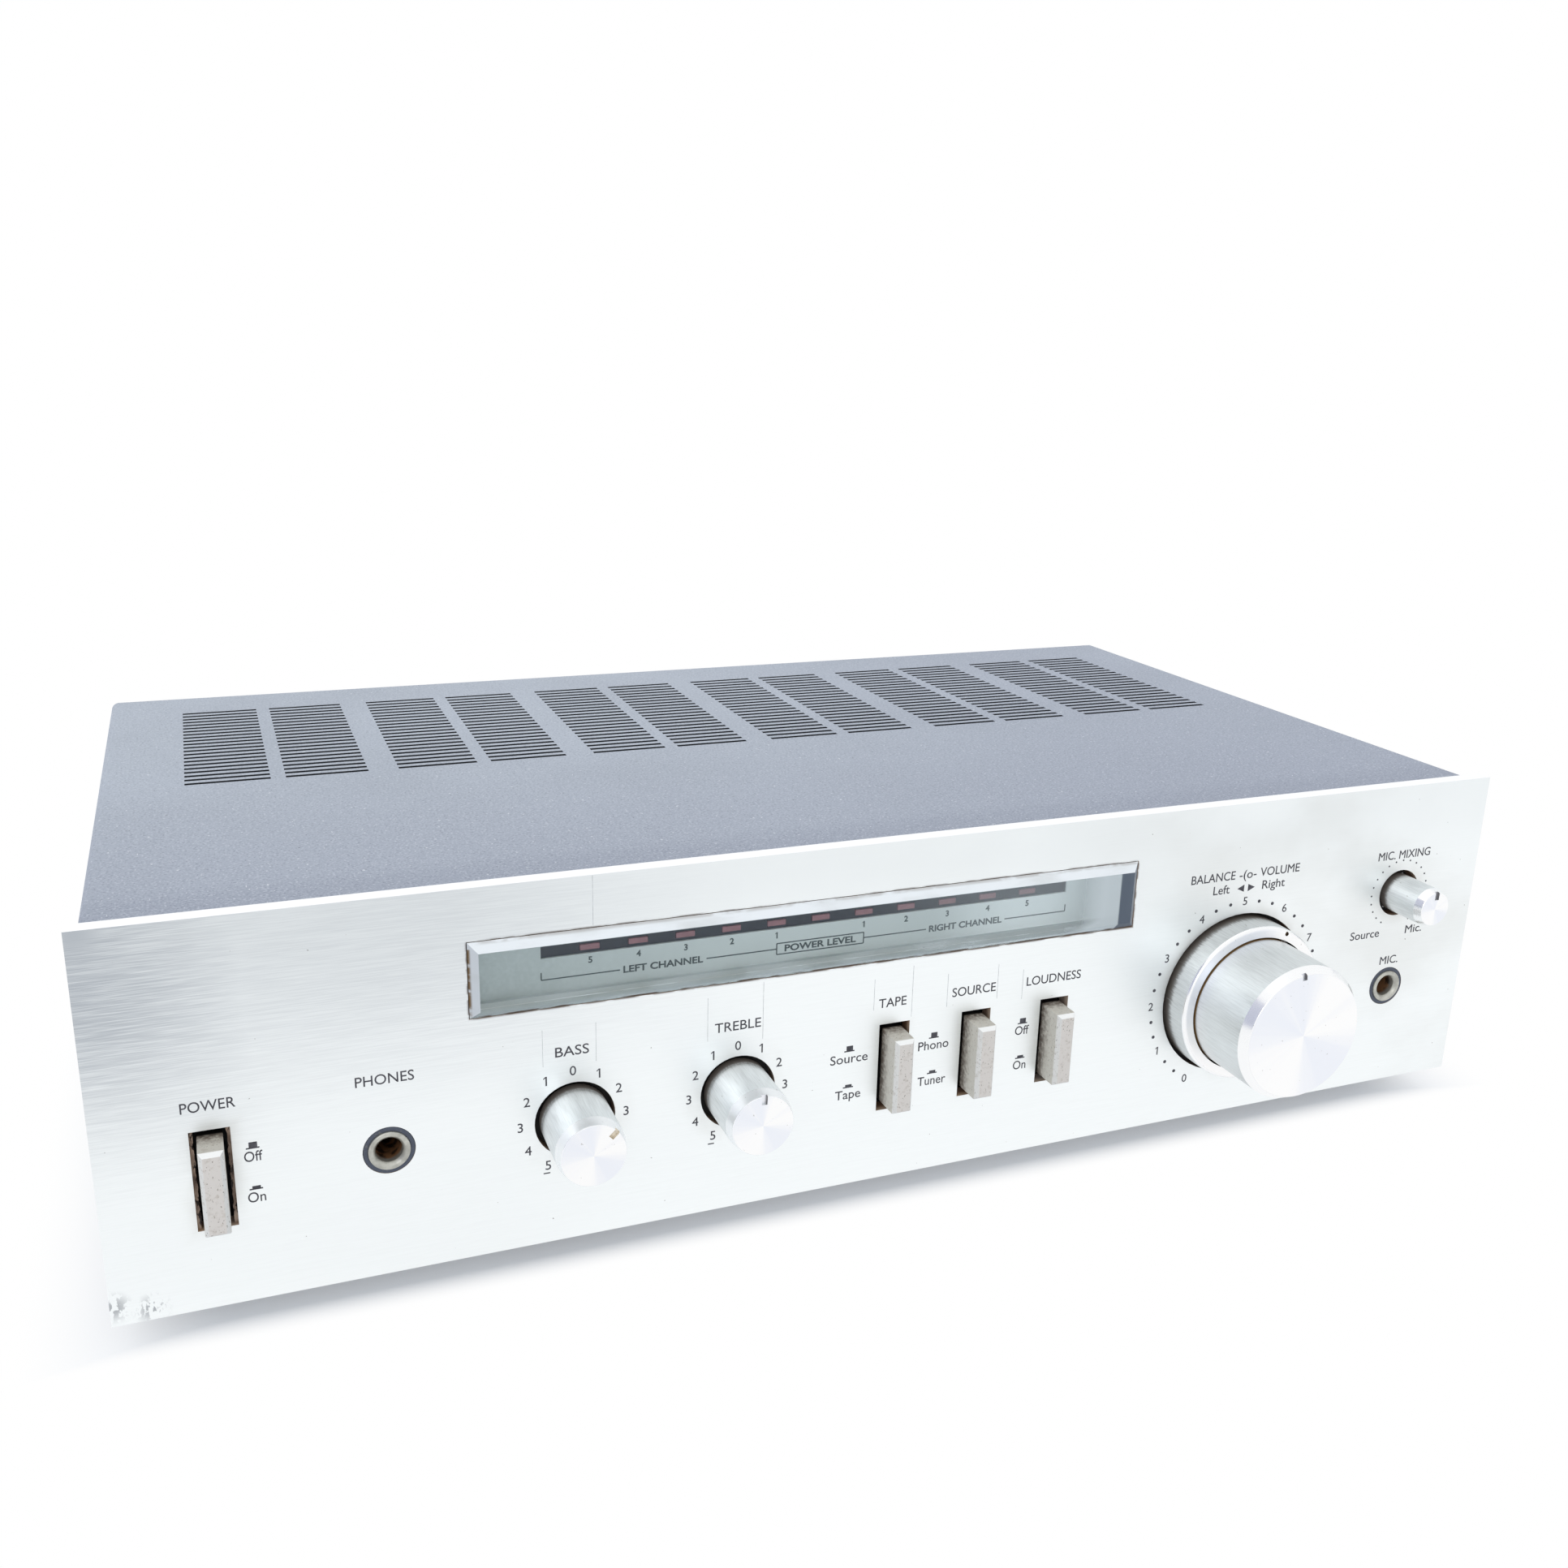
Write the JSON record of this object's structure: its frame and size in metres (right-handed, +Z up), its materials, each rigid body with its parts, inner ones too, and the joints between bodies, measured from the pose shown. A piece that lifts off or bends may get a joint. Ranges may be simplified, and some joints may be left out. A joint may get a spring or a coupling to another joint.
{
  "type": "stereo amplifier",
  "caption": "Hi-fi stereo amplifier in a slotted steel case with an aluminium faceplate, turning knobs, push buttons, a lamp display behind a clear window and jack sockets.",
  "frame": {"origin": "on the table, below the middle of the overall box", "axes": "+Z up, the faceplate faces -Y, +X to the right of someone facing it"},
  "size_m": [0.4, 0.2492, 0.1078],
  "materials": {
    "faceplate_aluminium": "brushed along the width, silver anodised",
    "cover_paint": "speckled blue-grey stove paint",
    "chassis_steel": "zinc-plated sheet",
    "plated_steel": "zinc-plated turned and stamped parts",
    "foot_rubber": "matte",
    "lens_acrylic": "clear polished acrylic",
    "scale_paint": "grey-green satin",
    "black_plastic": "satin black",
    "lamp_red": "dull red, unlit",
    "board_laminate": "green laminate",
    "button_plastic": "beige-grey with worn edges",
    "white_plastic": "white moulding",
    "knob_aluminium": "turned, with a spun face",
    "ring_aluminium": "turned, with a polished lip",
    "shaft_brass": "turned",
    "jack_plastic": "dark blue-grey moulding",
    "jack_nickel": "nickel plated",
    "core_iron": "varnished laminations",
    "coil_copper": "varnished winding under paper",
    "capacitor_sleeve": "blue shrink sleeve",
    "sink_aluminium": "black anodised extrusion",
    "terminal_bakelite": "dark brown moulding"
  },
  "bodies": {
    "amplifier": {"faceplate": "faceplate_aluminium", "top_cover": "cover_paint", "chassis_tray": "chassis_steel", "front_subpanel": "chassis_steel", "rear_panel": "chassis_steel", "feet": "foot_rubber", "foot_screws": "plated_steel", "cover_screws": "plated_steel", "faceplate_nuts": "plated_steel", "window_lens": "lens_acrylic", "display_frame": "black_plastic", "scale_plate": "scale_paint", "led_holder": "black_plastic", "leds": "lamp_red", "led_board": "board_laminate", "power_switch": "black_plastic", "selector_switches": "black_plastic", "bass_pot": "plated_steel", "treble_pot": "plated_steel", "volume_pot": "plated_steel", "mix_pot": "plated_steel", "pot_nuts": "plated_steel", "phones_jack_body": "jack_plastic", "phones_jack_bush": "jack_nickel", "mic_jack_body": "jack_plastic", "mic_jack_bush": "jack_nickel", "transformer_core": "core_iron", "transformer_coil": "coil_copper", "transformer_frame": "chassis_steel", "transformer_screws": "plated_steel", "amplifier_board": "board_laminate", "board_standoffs": "white_plastic", "filter_capacitors": "capacitor_sleeve", "heat_sink": "sink_aluminium", "power_transistors": "black_plastic", "phono_sockets": "white_plastic", "speaker_terminals": "terminal_bakelite", "terminal_screws": "plated_steel", "ground_terminal": "plated_steel", "fuse_holder": "black_plastic", "mains_gland": "black_plastic"},
    "power": {"power_button": "button_plastic", "power_plunger": "white_plastic"},
    "tape": {"tape_button": "button_plastic", "tape_plunger": "white_plastic"},
    "source": {"source_button": "button_plastic", "source_plunger": "white_plastic"},
    "loudness": {"loudness_button": "button_plastic", "loudness_plunger": "white_plastic"},
    "bass": {"bass_knob": "knob_aluminium", "bass_shaft": "shaft_brass"},
    "treble": {"treble_knob": "knob_aluminium", "treble_shaft": "shaft_brass"},
    "volume": {"volume_knob": "knob_aluminium", "volume_shaft": "shaft_brass"},
    "balance": {"balance_ring": "ring_aluminium", "balance_shaft": "shaft_brass"},
    "mix": {"mix_knob": "knob_aluminium", "mix_shaft": "shaft_brass"}
  },
  "joints": [
    {"name": "power_push", "type": "slide", "parent": "amplifier", "child": "power", "axis": [0, 1, 0], "range_m": [0, 0.0045], "stiffness_N_per_m": 300, "springref_m": -0.002},
    {"name": "tape_push", "type": "slide", "parent": "amplifier", "child": "tape", "axis": [0, 1, 0], "range_m": [0, 0.0045], "stiffness_N_per_m": 300, "springref_m": -0.002},
    {"name": "source_push", "type": "slide", "parent": "amplifier", "child": "source", "axis": [0, 1, 0], "range_m": [0, 0.0045], "stiffness_N_per_m": 300, "springref_m": -0.002},
    {"name": "loudness_push", "type": "slide", "parent": "amplifier", "child": "loudness", "axis": [0, 1, 0], "range_m": [0, 0.0045], "stiffness_N_per_m": 300, "springref_m": -0.002},
    {"name": "bass_turn", "type": "hinge", "parent": "amplifier", "child": "bass", "pos_m": [-0.0894, -0.0939, 0.0428], "axis": [0, 1, 0], "range_deg": [-196, 104]},
    {"name": "treble_turn", "type": "hinge", "parent": "amplifier", "child": "treble", "pos_m": [-0.0458, -0.0939, 0.0428], "axis": [0, 1, 0], "range_deg": [-152, 148]},
    {"name": "volume_turn", "type": "hinge", "parent": "amplifier", "child": "volume", "pos_m": [0.1119, -0.0939, 0.0482], "axis": [0, 1, 0], "range_deg": [-143, 157]},
    {"name": "balance_turn", "type": "hinge", "parent": "amplifier", "child": "balance", "pos_m": [0.1119, -0.0939, 0.0482], "axis": [0, 1, 0], "range_deg": [-174, 126]},
    {"name": "mix_turn", "type": "hinge", "parent": "amplifier", "child": "mix", "pos_m": [0.1702, -0.0939, 0.0732], "axis": [0, 1, 0], "range_deg": [-152, 148]}
  ]
}
